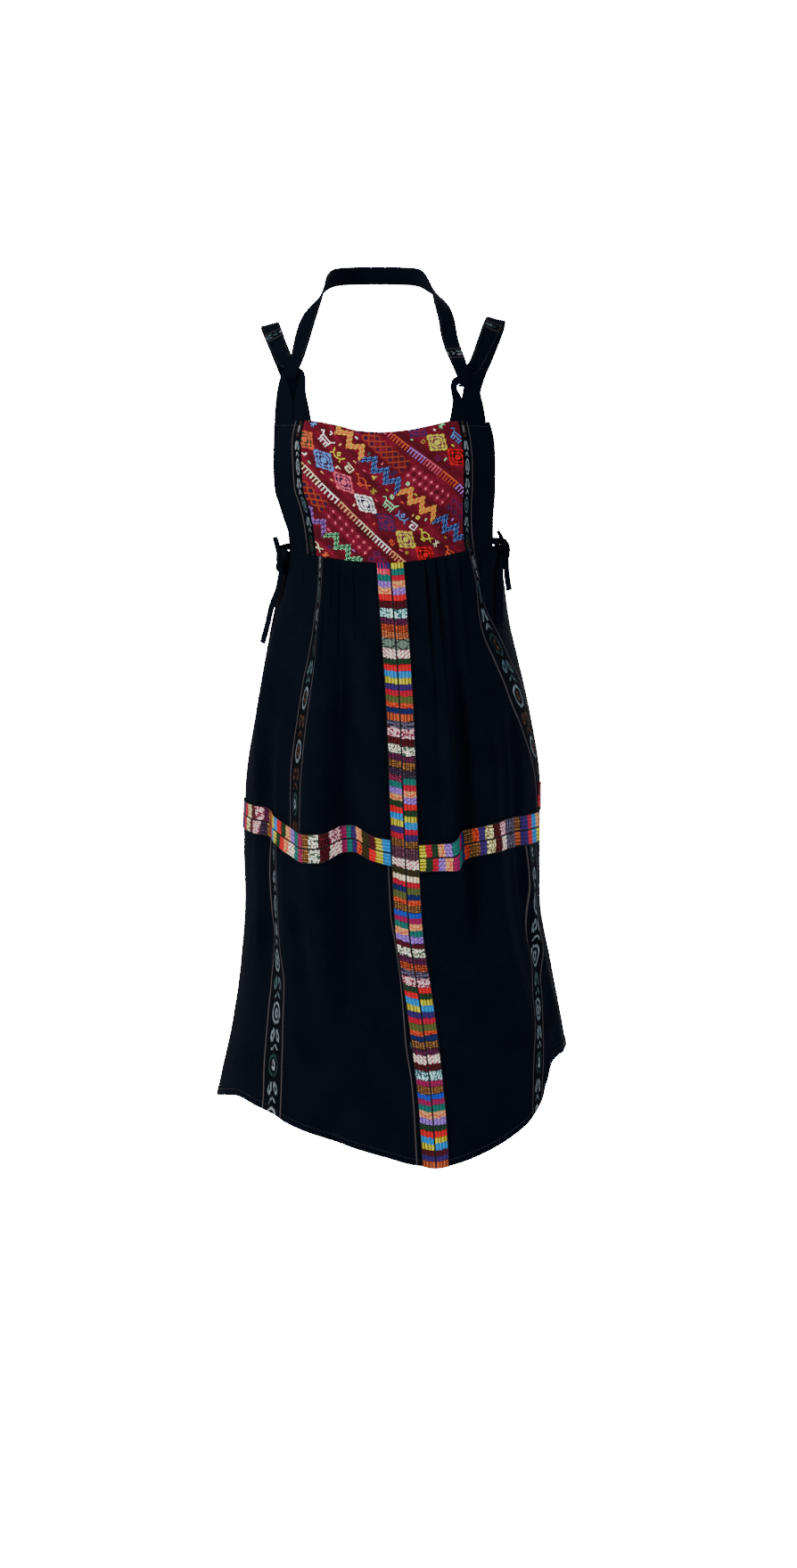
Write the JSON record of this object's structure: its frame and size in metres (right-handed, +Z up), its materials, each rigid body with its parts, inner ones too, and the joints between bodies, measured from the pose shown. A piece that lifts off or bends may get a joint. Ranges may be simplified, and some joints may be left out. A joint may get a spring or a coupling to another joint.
{
  "type": "handwoven pinafore dress",
  "caption": "Worn pinafore dress, hollow: bib, looped neck and shoulder straps, tied waist, long gathered skirt with a woven band down the front and round the hips.",
  "frame": {"origin": "the mount worn_hold: midway between the two shoulder straps where they pass over the shoulders that hold the dress", "axes": "+Z up, the front faces -Y, +X to the right of a viewer who faces the front"},
  "size_m": [0.4139, 0.2949, 1.0341],
  "materials": {
    "indigo_cotton": "very dark indigo plain weave, matt",
    "brocade_cotton": "crimson ground covered with multicoloured brocade, matt",
    "band_silk": "striped multicoloured satin stitch, low sheen"
  },
  "bodies": {
    "root": {"bib_back": "indigo_cotton", "bib_brocade": "brocade_cotton", "bib_loop_left": "indigo_cotton", "bib_loop_right": "indigo_cotton", "bib_side_left": "indigo_cotton", "bib_side_right": "indigo_cotton", "centre_band": "band_silk", "hip_band_back": "band_silk", "hip_band_front_left": "band_silk", "hip_band_front_right": "band_silk", "neck_strap": "indigo_cotton", "shoulder_strap_left": "indigo_cotton", "shoulder_strap_right": "indigo_cotton", "skirt_lower_back": "indigo_cotton", "skirt_lower_front": "indigo_cotton", "skirt_upper_back": "indigo_cotton", "skirt_upper_front": "indigo_cotton", "tie_left_back": "indigo_cotton", "tie_left_front": "indigo_cotton", "tie_left_knot": "indigo_cotton", "tie_left_long_end": "indigo_cotton", "tie_left_short_end": "indigo_cotton", "tie_right_back": "indigo_cotton", "tie_right_front": "indigo_cotton", "tie_right_knot": "indigo_cotton", "tie_right_long_end": "indigo_cotton", "tie_right_short_end": "indigo_cotton", "tie_right_spike": "indigo_cotton"}
  },
  "joints": []
}
